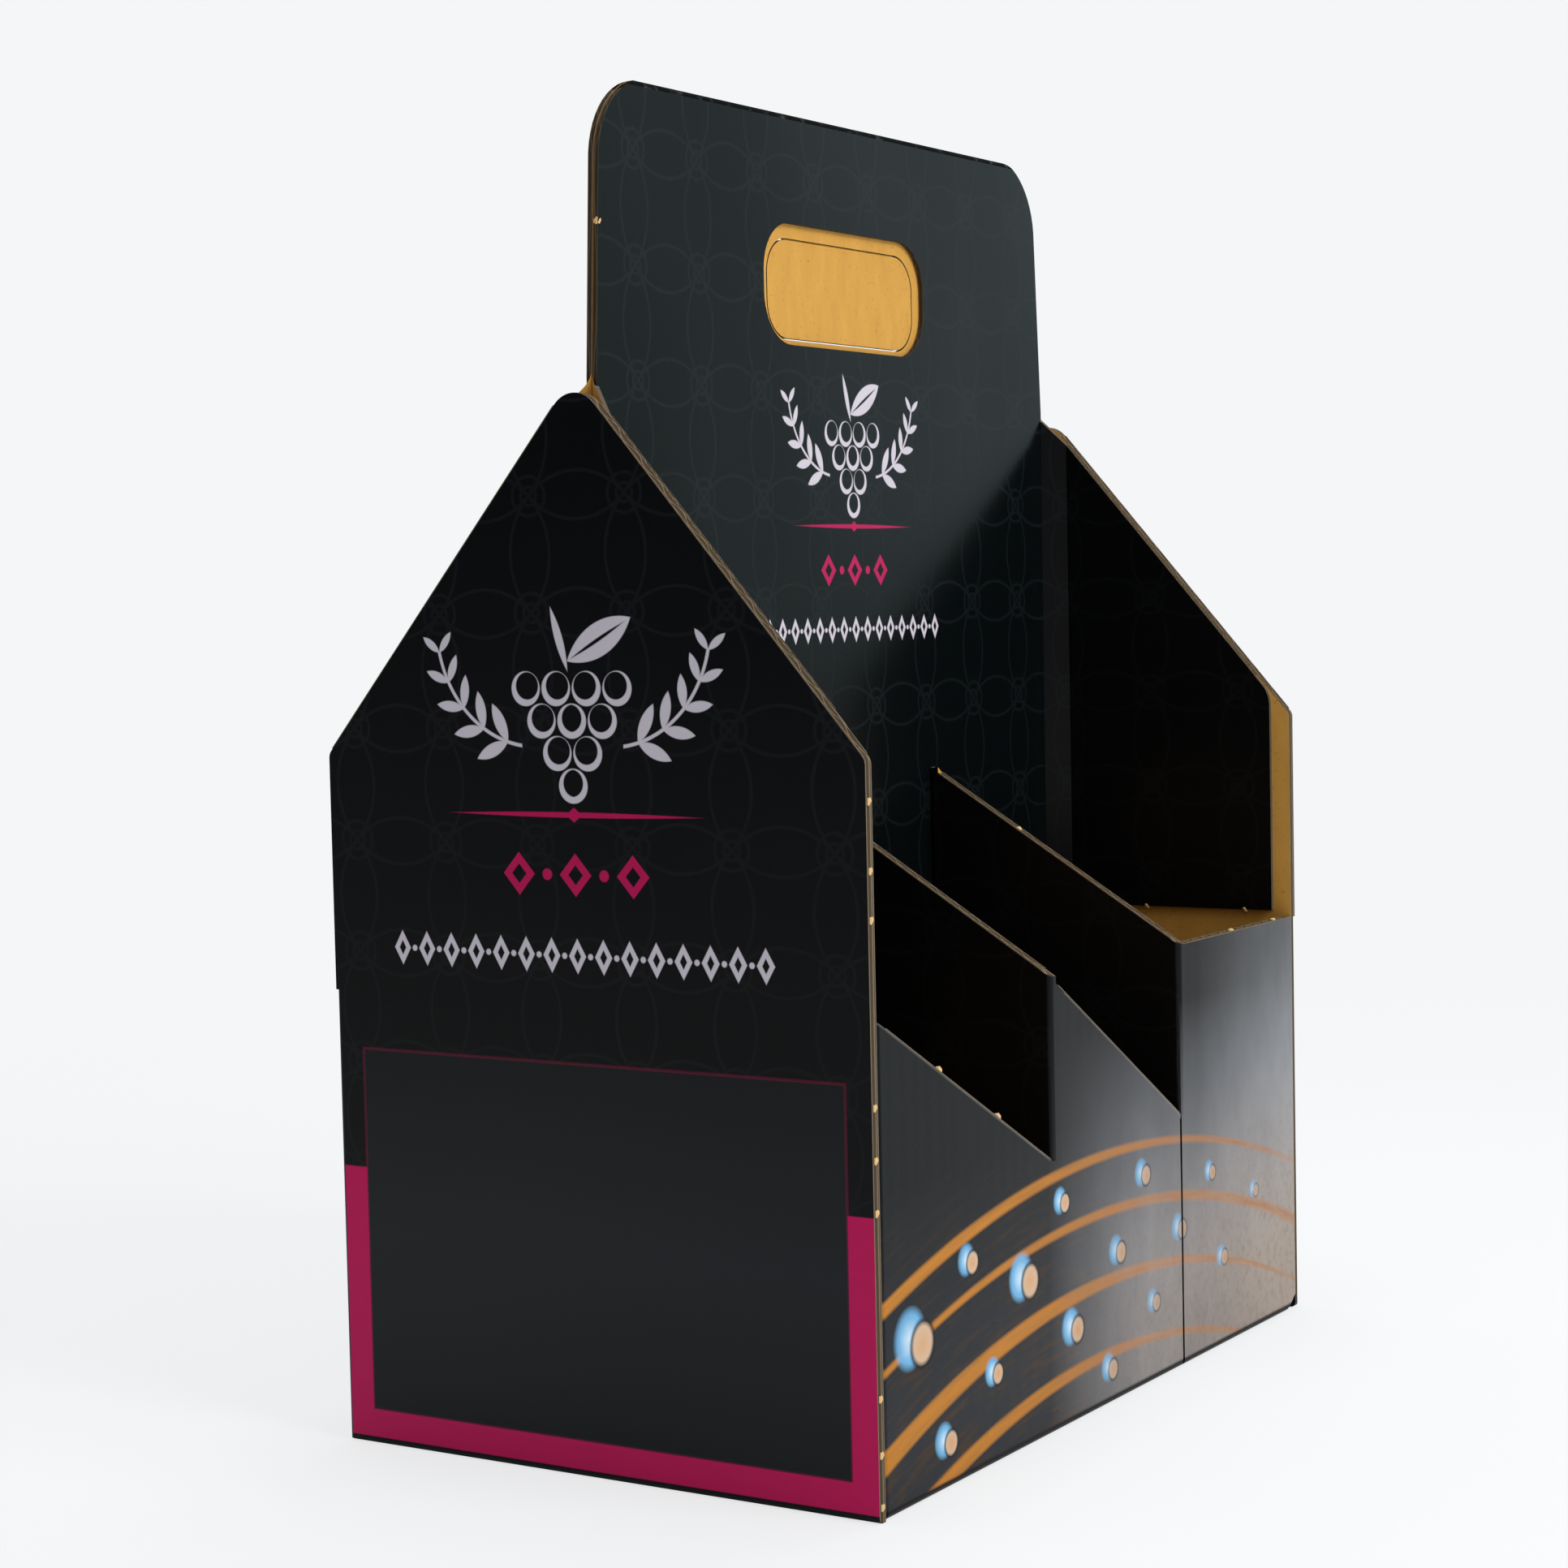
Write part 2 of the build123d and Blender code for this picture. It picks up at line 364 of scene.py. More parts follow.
def grape_emblem(panel):
    """A bunch of grapes with a leaf, between two sprigs of leaves."""
    berry, pitch, top, row_rise = 4.5, 9.6, 6.0, 0.87
    nib, nib_lean = 1.7, (-0.5, 0.8)
    stalk, blade, vein = 2.4, 8.5, 1.0
    half = panel.mirrored()
    silver = panel.leaf((-1.0, 10.5), (-6.0, 27.0), stalk)
    for row, places in enumerate(((0.5, 1.5), (0.0, 1.0), (0.5,), (0.0,))):
        for place in places:
            centre = (place * pitch, top - row * pitch * row_rise)
            silver = silver | half.swash(centre, berry, nib_lean, nib)
    leaf = panel.leaf((-1.0, 13.0), (19.0, 24.0), blade) & (1.0 - panel.leaf((0.0, 13.6), (17.0, 22.9), vein))
    return silver | leaf | sprig(half)


def sprig(half):
    """A curved stem with leaves in pairs, which grow smaller towards its tip."""
    hub, radius, line = (12.0, 22.0), 31.0, 0.9
    low, high = (16.0, -10.0), (44.0, 16.0)
    pairs, first_turn, turn_step = 5, -74.0, 15.5
    longest, shorter, slim = 11.0, 1.1, 0.32
    leans = (radians(48.0), radians(-40.0))
    stem = half.ring(hub, radius, line) & half.fill(half.box_distance(low, high))
    for step in range(pairs):
        turn = radians(first_turn + turn_step * step)
        foot = (hub[0] + radius * cos(turn), hub[1] + radius * sin(turn))
        length = longest - shorter * step
        for lean in leans:
            tip = (foot[0] - sin(turn + lean) * length, foot[1] + cos(turn + lean) * length)
            stem = stem | half.leaf(foot, tip, length * slim)
    return stem


def label_block(drawing, scale, middle):
    """Emblem, rule, row of diamonds and chain below it; gives the silver and the magenta masks."""
    panel = drawing.moved(middle, scale)
    half = panel.mirrored()
    rule_up, row_up, chain_up = -26.5, -42.0, -63.0
    rule_half, rule_line, rule_mark = 38.0, 1.4, (2.6, 1.9)
    diamond, diamond_hole, diamond_pitch, dot = (5.0, 5.6), (2.3, 2.6), 18.0, 1.5
    magenta = panel.leaf((-rule_half, rule_up), (rule_half, rule_up), rule_line)
    magenta = magenta | panel.lozenge((0.0, rule_up), rule_mark)
    for place in (0.0, diamond_pitch):
        hole = half.lozenge((place, row_up), diamond_hole)
        magenta = magenta | (half.lozenge((place, row_up), diamond) & (1.0 - hole))
    magenta = magenta | half.disc((diamond_pitch / 2, row_up), dot)
    chain_pitch, chain_turns = 8.2, 7.36
    link_half, link_hole, link_dot = (2.7, 4.6), (1.1, 2.0), 0.8
    link = panel.moved((chain_pitch / 2, 0.0)).row(chain_pitch)
    middle_link = (chain_pitch / 2, chain_up)
    chain = link.lozenge(middle_link, link_half) & (1.0 - link.lozenge(middle_link, link_hole))
    chain = chain | link.disc((0.0, chain_up), link_dot) | link.disc((chain_pitch, chain_up), link_dot)
    chain = chain & panel.fill(abs(panel.across) - chain_pitch * chain_turns)
    return grape_emblem(panel) | chain, magenta


def board_normal(finish, along, flute, show):
    """Board surface: a slow warp, flutes that show through here and there, and fine grain."""
    warp_height, grain_height = 5.0, 0.02
    warp = finish.noise(scale=7.0, detail=1.0)
    patch = finish.noise(scale=26.0, detail=1.0)
    grain = finish.noise(scale=1100.0, detail=2.0)
    wave = finish.math("SINE", along * (tau / flute)) * patch
    height = warp * warp_height + wave * show + grain * grain_height
    return finish.bump(height, strength=0.7, distance=0.0005)


class CarrierPrint(bpy.types.PropertyGroup):
    """Inks and paper of the carrier."""

    ink: FloatVectorProperty(
        name="Ink", description="Black print of the end panels", default=(0.0014, 0.0018, 0.0023), **COLOUR
    )
    ink_light: FloatVectorProperty(
        name="Pattern ink", description="Faint lattice", default=(0.0088, 0.0105, 0.0118), **COLOUR
    )
    handle_ink: FloatVectorProperty(
        name="Handle ink", description="Black print of the handle", default=(0.0018, 0.0030, 0.0034), **COLOUR
    )
    charcoal: FloatVectorProperty(
        name="Charcoal", description="Field low on the end panels", default=(0.0120, 0.0145, 0.0170), **COLOUR
    )
    magenta: FloatVectorProperty(
        name="Magenta", description="Band and rules", default=(0.47, 0.004, 0.086), **COLOUR
    )
    silver: FloatVectorProperty(
        name="Silver", description="Emblem and chain", default=(0.56, 0.52, 0.58), **COLOUR
    )
    amber: FloatVectorProperty(
        name="Amber", description="Ribbons on the side walls", default=(0.60, 0.240, 0.028), **COLOUR
    )
    sky: FloatVectorProperty(
        name="Pale blue", description="Rims of the beads", default=(0.14, 0.38, 0.62), **COLOUR
    )
    cream: FloatVectorProperty(
        name="Cream", description="Hearts of the beads", default=(0.55, 0.39, 0.27), **COLOUR
    )
    kraft: FloatVectorProperty(
        name="Kraft", description="Bare inside of the board", default=(0.60, 0.315, 0.056), **COLOUR
    )
    kraft_dark: FloatVectorProperty(
        name="Kraft shade", description="Fibres in the kraft", default=(0.44, 0.215, 0.036), **COLOUR
    )
    edge_paper: FloatVectorProperty(
        name="Edge paper", description="Liners and flutes at a cut", default=(0.24, 0.185, 0.125), **COLOUR
    )
    # Dark tone between the flutes at a cut: painted shade in the hollows there; on the laid flute strips it
    # is mixed with the paper tone as fibre grain
    edge_shade_and_grain: FloatVectorProperty(
        name="Edge hollow", description="Between the flutes at a cut", default=(0.075, 0.05, 0.025), **COLOUR
    )
    scuff: FloatVectorProperty(
        name="Scuff", description="Worn print along cuts and folds", default=(0.30, 0.285, 0.27), **COLOUR
    )
    lattice_pitch: FloatProperty(
        name="Lattice pitch", description="Tile of the faint lattice in millimetres", default=30.0, min=8.0
    )
    tuft: FloatProperty(
        name="Tuft", description="Width of a torn tuft on a cut edge", default=0.0020, min=0.0005, **DISTANCE
    )


class CarrierStage(bpy.types.PropertyGroup):
    """Camera, floor and light."""

    eye: FloatVectorProperty(
        name="Eye", description="Place of the camera", default=(0.4664, -0.7798, 0.2284), **PLACE
    )
    aim: FloatVectorProperty(
        name="Aim", description="Middle of the picture", default=(-0.0030, -0.0301, 0.1746), **PLACE
    )
    roll: FloatProperty(
        name="Roll", description="Turn of the camera about its view", subtype="ANGLE", default=radians(-1.22)
    )
    lens: FloatProperty(name="Lens", description="Focal length in millimetres", default=71.53, min=10.0)
    floor_half: FloatProperty(name="Floor", description="Half the floor's side", default=3.0, **DISTANCE)
    backdrop: FloatVectorProperty(
        name="Backdrop", description="Pale tone around the carrier", default=(0.91, 0.92, 0.93), **COLOUR
    )
    daylight: FloatProperty(name="Daylight", description="Even light from all sides", default=0.36, min=0.0)
    bright_side: FloatVectorProperty(
        name="Bright side",
        description="Direction in which mirrored surroundings are palest",
        subtype="DIRECTION",
        size=3,
        default=(0.22, 0.94, 0.25),
    )
    mirrored: FloatVectorProperty(
        name="Mirrored", description="Tone of what the gloss mirrors", default=(0.76, 0.93, 0.97), **COLOUR
    )
    dim_side: FloatProperty(
        name="Dim side", description="Level of the mirrored surroundings in front", default=0.05, min=0.0
    )


def end_print(ink):
    """Outside of an end panel: lattice, emblem, charcoal field and magenta band."""
    finish = Finish("end_panel_print")
    drawing = Drawing(finish, finish.sign(finish.y) * finish.x * -1.0, finish.z)
    field_low, field_high, field_line = (-75.0, 9.6), (76.5, 108.5), 0.8
    bottom_shade_top, band_top, side_fold_shade = 2.0, 76.0, 1.3
    painted_sheen_up, painted_sheen_reach = 60.0, 75.0
    field = drawing.box_distance(field_low, field_high)
    inside = drawing.fill(field)
    outline = drawing.fill(abs(field) - field_line / 2)
    lattice = petal_lattice(drawing, ink.lattice_pitch) & (1.0 - inside)
    silver, rules = label_block(drawing, scale=1.0, middle=(-3.0, 199.5))
    cloud = finish.noise(scale=14.0)
    # Painted reflection: the charcoal field is printed, and its colour is raised further about 60 mm up and
    # less above and below, standing in for the mirrored floor
    glow = 1.0 - abs(finish.z - painted_sheen_up) / painted_sheen_reach
    # The band stops 2 mm above the bottom fold and 1.3 mm short of the side fold, leaving the black ink there
    # as painted shade on the folds
    band = drawing.fill(drawing.up - band_top) & (1.0 - inside) & drawing.fill(bottom_shade_top - drawing.up)
    band = band & drawing.fill(side_fold_shade - HALF_WIDTH * MM - drawing.across)
    colour = finish.layers(
        ink.ink,
        (lattice * (0.16 + cloud * 0.5), ink.ink_light),
        (inside * (0.25 + glow * 0.75), ink.charcoal),
        (outline * 0.14, ink.magenta),
        (band, ink.magenta),
        (rules * RULE_INK, ink.magenta),
        (silver, ink.silver),
    )
    roughness = 0.30 + lattice * 0.06 + cloud * 0.10
    return finish.close(colour, roughness, board_normal(finish, finish.x, FLUTE, show=0.02), specular=0.125)


def wall_print(ink):
    """Outside of a side wall: dark ground, amber ribbons and beads, washed out low down and at the far end by
    pale painted sheen that stands in for reflected light.
    """
    finish = Finish("side_wall_print")
    across = finish.sign(finish.x) * finish.y
    drawing = Drawing(finish, across, finish.z, soft=1.1)
    streak = ribbon_streak(drawing)
    cloud = finish.noise(scale=17.0, detail=4.0)
    mottle = finish.noise(scale=90.0)
    sheen_ripple = finish.noise(scale=48.0, detail=4.0, rough=0.6, stretch=(1.0, 1.0, 0.6))
    grit = finish.gain(streak + mottle * 0.5 - 0.72, 3.0)
    speckle = finish.gain(finish.noise(scale=420.0, detail=2.0) - 0.46, 3.0)
    low = finish.fill(finish.z - 52.0, soft=60.0)
    far = finish.fill(20.0 - across, soft=200.0)
    # Painted sheen: pale tones laid low down towards the far end and over the far end, standing in for the
    # mirrored floor and the light behind; the print under them fades
    painted_low_sheen = finish.fill(finish.z - 76.0, soft=64.0) * finish.fill(-8.0 - across, soft=64.0)
    painted_far_sheen = finish.fill(112.0 - across, soft=110.0) * (0.4 + finish.fill(finish.z - 95.0, soft=50.0) * 0.6)
    # Bottom 2.2 mm of the wall: a dark line of painted shade where the fold turns under, with the coat left
    # off there
    fold = finish.fill(finish.z - 2.2, soft=0.8)
    print_under_sheen = 1.0 - (painted_low_sheen * 0.4 | painted_far_sheen * 0.7)
    amber = finish.cover(streak * 0.9 + far * 0.5 - 0.2, ink.amber, EMBER)
    strength = (0.35 + streak * 0.9) * print_under_sheen
    bands = [(drawing.ribbon(RIBBON_HUB, *ribbon) * strength, amber) for ribbon in RIBBONS]
    colour = finish.layers(
        NIGHT,
        (low, DUSK),
        (low * grit * 0.8, UMBER),
        (painted_low_sheen * (0.30 + cloud * 0.5 + sheen_ripple * 0.5), finish.cover(low * far, PAINTED_SHEEN, WARM_PAINTED_SHEEN)),
        (painted_far_sheen * (0.50 + sheen_ripple * 0.6), finish.cover(low, FAR_PAINTED_SHEEN, WARM_PAINTED_SHEEN)),
        (speckle * low * far * 0.30, UMBER),
        *bands,
        *bead_layers(drawing, ink, mottle, print_under_sheen),
        (wall_wear(finish, across) * (0.05 + mottle * 0.4), ink.scuff),
        (fold, FOLD_SHADE),
    )
    beyond = finish.math("GREATER_THAN", across, HINGES[1] * MM)
    coat = (far * (0.16 - beyond * 0.12)) & (1.0 - fold)
    normal = board_normal(finish, finish.y, FLUTE, show=0.035)
    return finish.close(colour, 0.20 + cloud * 0.12, normal, specular=0.05, coat=coat)


def ribbon_streak(drawing):
    """Noise drawn out along the ribbons."""
    finish = drawing.finish
    along, aside = 16.0, 0.55
    turn = finish.math("ARCTAN2", drawing.across - RIBBON_HUB[0], drawing.up - RIBBON_HUB[1])
    flow = finish.make("ShaderNodeCombineXYZ", {}, {0: turn * along, 1: drawing.reach(RIBBON_HUB) * aside})
    inputs = {"Vector": flow, "Scale": 1.0, "Detail": 4.0}
    return finish.make("ShaderNodeTexNoise", {"noise_dimensions": "2D"}, inputs)


def bead_layers(drawing, ink, mottle, print_under_sheen):
    """Beads of the side walls: blue rims with a glint, then dark rings and cream hearts beside them."""
    finish = drawing.finish
    rims = [drawing.reach((across - size * 0.42, up + size * 0.20)) / size for across, up, size in BEADS]
    hearts = [drawing.reach((across + size * 0.34, up - size * 0.10)) / size for across, up, size in BEADS]
    rim, heart = reduce(Term.__and__, rims), reduce(Term.__and__, hearts)
    glint = finish.cover(finish.fill(rim - 0.30, soft=0.7), ink.sky, GLINT)
    cork = finish.cover(finish.fill(heart - 0.30, soft=0.5) * mottle, ink.cream, ink.amber)
    # The beads fade where the painted sheen of the wall lies over them
    return (
        (finish.fill(rim - 0.86, soft=0.30) * (0.6 + mottle * 0.7) * print_under_sheen, glint),
        (finish.fill(heart - 0.76, soft=0.14) * 0.85 * print_under_sheen, NIGHT),
        (finish.fill(heart - 0.60, soft=0.16) * print_under_sheen, cork),
    )


def wall_wear(finish, across):
    """Scuffed print along the two slanting cuts of a side wall."""
    near_end, hinge, far_hinge = (place * MM for place in (BOARD - HALF_LENGTH, *HINGES))
    top, step = WALL_TOP * MM, STRAP_DROP * MM
    fold_middle, fold_half = 3.0, 5.0
    first = top - (across - near_end) * (step / (hinge - near_end)) - finish.z
    second = top - (across - hinge) * (step / (far_hinge - hinge)) - finish.z
    beyond = finish.math("GREATER_THAN", across, hinge)
    nearer = first * (1.0 - beyond) + second * beyond
    off_fold = finish.fill(fold_half - abs(across - hinge - fold_middle), soft=2.0)
    return finish.fill(nearer - 0.5, soft=0.5) & finish.fill(across - far_hinge, soft=0.5) & off_fold


def plain_print(ink):
    """Plain black print of the straps, the gable flaps and the underside."""
    finish = Finish("plain_black_print")
    drawing = Drawing(finish, finish.x + finish.y, finish.z)
    lattice = petal_lattice(drawing, ink.lattice_pitch)
    cloud = finish.noise(scale=20.0)
    colour = finish.cover(lattice * 0.3, PLAIN_INK, ink.ink_light)
    normal = board_normal(finish, finish.x + finish.y, FLUTE, show=0.02)
    return finish.close(colour, 0.30 + cloud * 0.1, normal, specular=0.15)


def handle_print(ink):
    """Outside of the handle and divider plies: lattice, and the emblem below the hand hole."""
    finish = Finish("handle_print")
    drawing = Drawing(finish, finish.sign(finish.x) * finish.y, finish.z)
    lattice = petal_lattice(drawing, ink.lattice_pitch)
    silver, rules = label_block(drawing, scale=0.82, middle=(4.0, 269.5))
    cloud = finish.noise(scale=12.0)
    colour = finish.layers(
        ink.handle_ink,
        (lattice * (0.2 + cloud * 0.6), HANDLE_PATTERN),
        (rules * RULE_INK, ink.magenta),
        (silver, ink.silver),
    )
    roughness = 0.16 + lattice * 0.06 + cloud * 0.08
    normal = board_normal(finish, finish.y, FINE_FLUTE, show=0.006)
    return finish.close(colour, roughness, normal, specular=0.155)


def fold_print(ink):
    """Black print crushed and dulled on the fold at the top of the handle."""
    finish = Finish("handle_fold")
    scuff = finish.gain(finish.noise(scale=240.0, detail=4.0) - 0.56, 4.0)
    colour = finish.cover(scuff * 0.25, ink.handle_ink, ink.scuff)
    normal = finish.bump(scuff, strength=0.3, distance=0.0002)
    return finish.close(colour, roughness=0.75, normal=normal, specular=0.03)


def kraft_paper(ink):
    """Bare kraft inside of the board, with fibres, specks and faint flutes."""
    finish = Finish("kraft_liner")
    fibre = finish.noise(scale=160.0, detail=5.0, rough=0.65, stretch=(1.0, 1.0, 0.35))
    cloud = finish.noise(scale=22.0)
    speck = finish.fill(finish.noise(scale=800.0, detail=1.0) - 0.30, soft=0.05)
    colour = finish.layers(
        ink.kraft_dark, (finish.gain(fibre, 1.3), ink.kraft), (speck * 0.5, SPECK), (cloud * 0.16, PALE_KRAFT)
    )
    flute = finish.math("SINE", (finish.x + finish.y) * (tau / FLUTE))
    normal = finish.bump(flute * 0.12 + fibre * 0.3, strength=0.5, distance=0.0003)
    return finish.close(colour, 0.74 + cloud * 0.12, normal, specular=0.22)


def raw_paper(name, below, above, share, scale, strength, specular):
    """Raw fibres of a cut or a torn edge, between two tones."""
    finish = Finish(name)
    fibre = finish.noise(scale=scale)
    colour = finish.cover(fibre * share, below, above)
    normal = finish.bump(fibre, strength=strength, distance=0.0002)
    return finish.close(colour, roughness=0.9, normal=normal, specular=specular)


def cut_edge(finish, ink, deep, run, board, painted_light_level=1.0):
    """Cut edge of a board of some thickness and pitch: two liners and the wave of the flute between them."""
    thick, pitch = board
    liner = thick * LINER_SHARE
    wave = finish.math("SINE", run * (tau / pitch))
    off_middle = deep - thick / 2
    flute = finish.fill(abs(off_middle - wave * (thick * FLUTE_SHARE)) - liner * 0.7, soft=0.2)
    liners = finish.fill((thick / 2 - liner) - abs(off_middle), soft=0.15)
    fuzz = finish.noise(scale=700.0)
    paper = flute | liners
    shades = (ink.edge_shade_and_grain, ink.edge_paper)
    # Below one, the tone factor darkens both colours: painted shade for cut edges that lie in shade
    hollow_shade_tone, paper_tone = (tuple(level * painted_light_level for level in shade) for shade in shades)
    # Painted shade: the hollows between flute and liners take the dark tone
    colour = finish.cover(paper * (0.65 + fuzz * 0.5), hollow_shade_tone, paper_tone)
    normal = finish.bump(paper + fuzz * 0.4, strength=0.5, distance=0.0003)
    return finish.close(colour, roughness=0.86, normal=normal, specular=0.2)


def board_edges(ink):
    """The cut edges of each panel, by the direction in which its thickness runs."""
    board = (BOARD * MM, FLUTE)
    end, wall = Finish("end_panel_edge"), Finish("side_wall_edge")
    strap, flap = Finish("strap_edge"), Finish("inner_flap_edge")
    end_deep, end_run = HALF_LENGTH * MM - abs(end.y), end.sign(end.y) * end.x
    wall_deep, wall_run = HALF_WIDTH * MM - abs(wall.x), wall.sign(wall.x) * wall.y
    past_hinge = strap.sign(strap.x) * strap.y - HINGES[0] * MM
    strap_deep = strap.wrap(past_hinge, (HINGES[1] - HINGES[0]) * MM)
    return {
        # The end panel's cut edges take a darker copy of the cut edge colours, painted shade
        "end_edge": cut_edge(end, ink, end_deep, end_run, board, painted_light_level=0.75),
        "wall_edge": cut_edge(wall, ink, wall_deep, wall_run, board),
        "strap_edge": cut_edge(strap, ink, strap_deep, abs(strap.x), board),
        "flap_edge": cut_edge(flap, ink, flap.wrap(flap.z, BOARD * MM), flap.x + flap.y, board),
    }


def insert_edges(ink):
    """The cut edges of the thinner handle insert."""
    board = (PLY * MM, FINE_FLUTE)
    ply, gable = Finish("ply_edge"), Finish("gable_flap_edge")
    seat = (HALF_LENGTH - BOARD - PLY) * MM
    return {
        # The ply edges take a much darker copy and the gable flap edges a slightly darker one, painted shade
        "ply_edge": cut_edge(ply, ink, PLY_FACE * MM - abs(ply.x), ply.y, board, painted_light_level=0.45),
        "gable_edge": cut_edge(gable, ink, abs(gable.y) - seat, abs(gable.x), board, painted_light_level=0.8),
    }


def half_panel(centre, normal):
    """The panel of a body half that a face lies on, and how far the face looks to its printed side."""
    if centre.y > HALF_LENGTH - BOARD - TOUCH:
        return "end", normal.y
    if centre.y < HALF_LOW.y + BOARD + TOUCH and centre.x < HALF_WIDTH - BOARD - TOUCH:
        return "flap", -normal.y
    if centre.x > HALF_WIDTH - BOARD - TOUCH:
        return "wall", normal.x
    if centre.z < 3 * BOARD:
        return "flap", -normal.z
    if centre.x < PLY_FACE + BOARD + TOUCH and abs(normal.z) < FLAT_LIMIT:
        in_strap = (centre.y - HINGES[0]) % (HINGES[1] - HINGES[0]) < BOARD + TOUCH
        return "flap", -normal.x - (normal.y if in_strap else 0.0)
    return "strap", -normal.y


def half_face(centre, normal):
    """Finish of one face of a body half, in the right half's own frame."""
    panel, facing = half_panel(centre, normal)
    if panel == "wall":
        if normal.y < -SQUARE_LIMIT or -normal.y > normal.x > FLAT_LIMIT:
            return "plain"
        if centre.x > HALF_WIDTH - BOARD / 6 and abs(normal.z) < FLAT_LIMIT:
            return "wall"
    if panel == "end" and normal.x > normal.y > FLAT_LIMIT:
        return "wall"
    if panel == "end" and centre.x > HALF_WIDTH - BOARD and centre.z < 2 * BOARD:
        return "plain"
    if facing > FLAT_LIMIT:
        return panel if panel in ("end", "wall") else "plain"
    if facing < -FLAT_LIMIT:
        return "kraft"
    return panel + "_edge"


def insert_face(centre, normal):
    """Finish of one face of the handle insert or of its hand hole flap."""
    if centre.z > HANDLE_TOP - 2 * PLY and normal.z > FLAT_LIMIT:
        return "fold"
    if abs(centre.x) > PLY_FACE + TOUCH:
        facing = normal.y if centre.y < 0 else -normal.y
        printed, edge = "plain", "ply_edge" if abs(centre.x) < SPLAY_END else "gable_edge"
    else:
        facing = normal.x if centre.x > 0 else -normal.x
        printed, edge = "handle", "ply_edge"
    if facing > FLAT_LIMIT:
        return printed
    return "kraft" if facing < -FLAT_LIMIT else edge


def dress(node, finishes, rule, turned=False):
    """Gives each face of a node the finish that the rule names."""
    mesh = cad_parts[node].data
    names = list(finishes)
    mesh.materials.clear()
    for name in names:
        mesh.materials.append(finishes[name])
    for face in mesh.polygons:
        centre, normal = face.center.copy(), face.normal.copy()
        if turned:
            centre.xy = -centre.xy
            normal.xy = -normal.xy
        face.material_index = names.index(rule(centre, normal))


def twin(model):
    """A copy of an object with a mesh of its own."""
    copy = model.copy()
    copy.data = model.data.copy()
    bpy.context.collection.objects.link(copy)
    return copy


def joined(parts):
    """Some objects as one, with its place in its mesh."""
    bpy.ops.object.select_all(action="DESELECT")
    for part in parts:
        part.select_set(True)
    bpy.context.view_layer.objects.active = parts[0]
    bpy.ops.object.join()
    bpy.ops.object.transform_apply(location=True, rotation=True, scale=True)
    return parts[0]


class CARRIER_OT_dress_halves(bpy.types.Operator):
    """Print, kraft and cut edges on the two body halves"""

    bl_idname = "carrier.dress_halves"
    bl_label = "Dress body halves"

    def execute(self, context):
        ink = context.scene.carrier_print
        finishes = {
            "end": end_print(ink),
            "wall": wall_print(ink),
            "plain": plain_print(ink),
            "kraft": kraft_paper(ink),
            **board_edges(ink),
        }
        dress("body_half_right", finishes, half_face)
        dress("body_half_left", finishes, half_face, turned=True)
        return {"FINISHED"}


class CARRIER_OT_dress_insert(bpy.types.Operator):
    """Print, kraft and cut edges on the handle insert and the hand hole flap"""

    bl_idname = "carrier.dress_insert"
    bl_label = "Dress handle insert"

    def execute(self, context):
        ink = context.scene.carrier_print
        finishes = {
            "handle": handle_print(ink),
            "fold": fold_print(ink),
            "plain": plain_print(ink),
            "kraft": kraft_paper(ink),
            **insert_edges(ink),
        }
        dress("handle_insert", finishes, insert_face)
        dress("hand_hole_flap", finishes, insert_face)
        return {"FINISHED"}


class CARRIER_OT_fray_edges(bpy.types.Operator):
    """Torn tufts at the points where the sheet was held in its waste"""

    bl_idname = "carrier.fray_edges"
    bl_label = "Fray cut edges"

    def execute(self, context):
        ink = context.scene.carrier_print
        ragged, drawn_out = 0.12, (0.9, 1.0, 1.15)
        bpy.ops.mesh.primitive_ico_sphere_add(subdivisions=2, radius=ink.tuft / 2)
        first = context.object
        bpy.ops.object.mode_set(mode="EDIT")
        bpy.ops.mesh.select_all(action="SELECT")
        bpy.ops.transform.vertex_random(offset=ink.tuft * ragged, uniform=0.6, normal=0.4, seed=5)
        bpy.ops.transform.resize(value=drawn_out)
        bpy.ops.object.mode_set(mode="OBJECT")
        bpy.ops.object.shade_smooth()
        tones = (ink.kraft, TORN_FIBRE)
        torn = raw_paper("torn_paper", *tones, share=1.0, scale=1500.0, strength=0.5, specular=0.2)
        first.data.materials.append(torn)
        spots = self.spots()
        tufts = [first] + [twin(first) for spot in spots[1:]]
        for tuft, spot in zip(tufts, spots):
            tuft.location = spot
        joined(tufts).name = "nick_tufts"
        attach(first, "carrier")
        return {"FINISHED"}

    @staticmethod
    def spots():
        """Places along the cut edges, on both halves."""
        sunk = 0.0005
        corner_heights = (0.178, 0.161, 0.149, 0.103, 0.090, 0.077, 0.031, 0.017, 0.004)
        corner = (HALF_WIDTH - sunk, BOARD / 2 - HALF_LENGTH)
        wall_face = HALF_WIDTH - 2 * sunk
        wall_middle = HALF_WIDTH - BOARD / 2
        flap_middle = HALF_LENGTH - BOARD - PLY / 2
        places = [(*corner, up) for up in corner_heights]
        places += [
            (wall_face, -0.097, 0.1073),
            (wall_face, -0.066, 0.0906),
            (wall_middle, 0.086, 0.1236),
            (wall_middle, 0.118, 0.1236),
            (0.031, 0.0475, 0.1563),
            (0.035, flap_middle, 0.1263),
            (0.069, flap_middle, 0.1263),
            (0.0009, -0.1208, 0.325),
        ]
        return places + [(-x, -y, z) for x, y, z in places]


